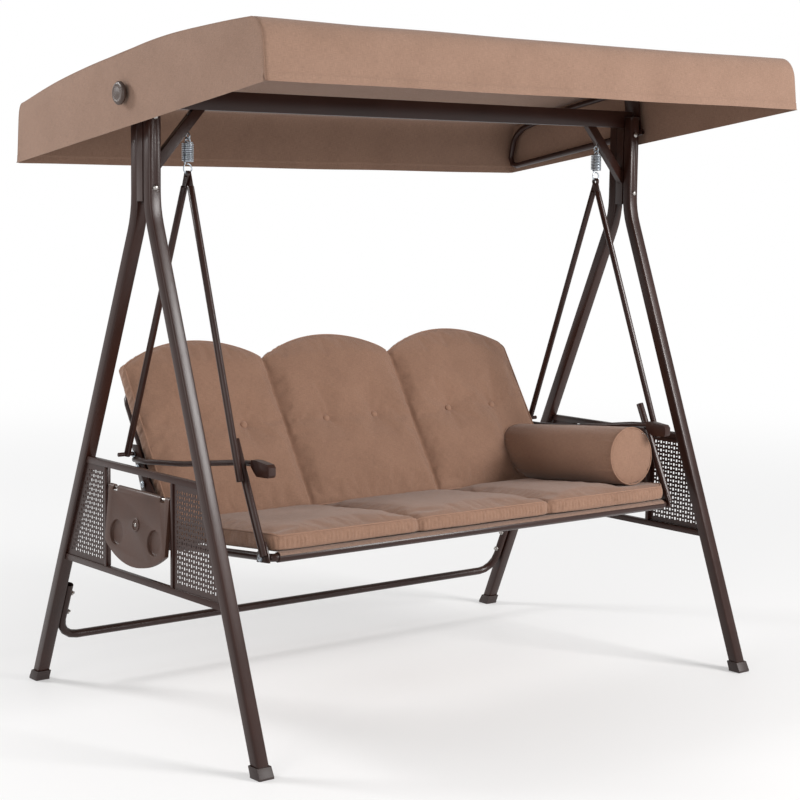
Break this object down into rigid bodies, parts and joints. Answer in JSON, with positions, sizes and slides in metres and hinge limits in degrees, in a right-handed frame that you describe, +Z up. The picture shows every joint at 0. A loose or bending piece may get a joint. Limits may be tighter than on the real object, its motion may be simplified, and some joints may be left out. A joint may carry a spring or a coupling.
{
  "type": "canopy swing bench",
  "caption": "Garden swing bench for three: A-frame legs with folding side trays, spring-hung cushioned seat and a tilting fabric canopy over it.",
  "frame": {"origin": "on the ground, at the middle of the bounding box's underside", "axes": "+Z up, front towards -Y, +X to the right as seen from the front"},
  "size_m": [1.9446, 1.2948, 1.8588],
  "materials": {
    "frame_paint": "glossy dark brown powder coat",
    "zinc": "bright zinc plate",
    "bolt_steel": "satin plated steel",
    "tray_plastic": "matte brown, fine grain",
    "knob_plastic": "matte brown grey",
    "foot_plastic": "matte dark brown",
    "cushion_fabric": "matte woven polyester, taupe",
    "canopy_fabric": "matte woven polyester, taupe",
    "sling_fabric": "coarse woven sling"
  },
  "bodies": {
    "frame": {"left_front_leg": "frame_paint", "left_rear_leg": "frame_paint", "left_centre_post": "frame_paint", "left_brace": "frame_paint", "left_front_foot_cap": "foot_plastic", "left_rear_foot_cap": "foot_plastic", "left_upper_bolt": "bolt_steel", "left_lower_bolt": "bolt_steel", "left_top_rail": "frame_paint", "left_bottom_rail": "frame_paint", "left_front_panel": "frame_paint", "left_rear_panel": "frame_paint", "left_spring_eye": "zinc", "left_tray_pin": "bolt_steel", "right_front_leg": "frame_paint", "right_rear_leg": "frame_paint", "right_centre_post": "frame_paint", "right_brace": "frame_paint", "right_front_foot_cap": "foot_plastic", "right_rear_foot_cap": "foot_plastic", "right_upper_bolt": "bolt_steel", "right_lower_bolt": "bolt_steel", "right_top_rail": "frame_paint", "right_bottom_rail": "frame_paint", "right_front_panel": "frame_paint", "right_rear_panel": "frame_paint", "right_spring_eye": "zinc", "right_tray_pin": "bolt_steel", "crossbeam": "frame_paint", "rear_lower_bar": "frame_paint"},
    "canopy": {"canopy_cover": "canopy_fabric", "canopy_left_frame": "frame_paint", "canopy_right_frame": "frame_paint", "canopy_front_bar": "frame_paint", "canopy_rear_bar": "frame_paint"},
    "left_knob": {"left_knob": "knob_plastic"},
    "right_knob": {"right_knob": "knob_plastic"},
    "suspension": {"left_spring": "zinc", "right_spring": "zinc"},
    "seat": {"left_front_hanger": "frame_paint", "left_rear_hanger": "frame_paint", "left_lower_hanger": "frame_paint", "left_armrest": "frame_paint", "right_front_hanger": "frame_paint", "right_rear_hanger": "frame_paint", "right_lower_hanger": "frame_paint", "right_armrest": "frame_paint", "seat_left_rail": "frame_paint", "seat_right_rail": "frame_paint", "seat_front_rail": "frame_paint", "seat_rear_rail": "frame_paint", "seat_sling": "sling_fabric", "back_frame": "frame_paint", "back_sling": "sling_fabric", "seat_cushion": "cushion_fabric", "back_cushion": "cushion_fabric", "bolster_pillow": "cushion_fabric"},
    "left_tray": {"left_tray": "tray_plastic"},
    "right_tray": {"right_tray": "tray_plastic"}
  },
  "joints": [
    {"name": "canopy_tilt", "type": "hinge", "parent": "frame", "child": "canopy", "pos_m": [0, 0.00336, 1.698], "axis": [1, 0, 0], "range_deg": [-12, 25]},
    {"name": "left_knob_turn", "type": "hinge", "parent": "frame", "child": "left_knob", "pos_m": [-0.95, 0.00336, 1.698], "axis": [-1, 0, 0], "continuous": true},
    {"name": "right_knob_turn", "type": "hinge", "parent": "frame", "child": "right_knob", "pos_m": [0.95, 0.00336, 1.698], "axis": [1, 0, 0], "continuous": true},
    {"name": "swing", "type": "hinge", "parent": "frame", "child": "suspension", "pos_m": [0, 0.00036, 1.5865], "axis": [1, 0, 0], "range_deg": [-15, 15]},
    {"name": "bounce", "type": "slide", "parent": "suspension", "child": "seat", "axis": [0, 0, 1], "range_m": [-0.03, 0.009], "stiffness_N_per_m": 40000, "springref_m": 0.00937, "deforming": ["left_spring", "right_spring"]},
    {"name": "left_tray_fold", "type": "hinge", "parent": "frame", "child": "left_tray", "pos_m": [-0.89, 0.00336, 0.64], "axis": [0, 1, 0], "range_deg": [0, 84.5]},
    {"name": "right_tray_fold", "type": "hinge", "parent": "frame", "child": "right_tray", "pos_m": [0.89, 0.00336, 0.64], "axis": [0, -1, 0], "range_deg": [0, 84.5]}
  ]
}
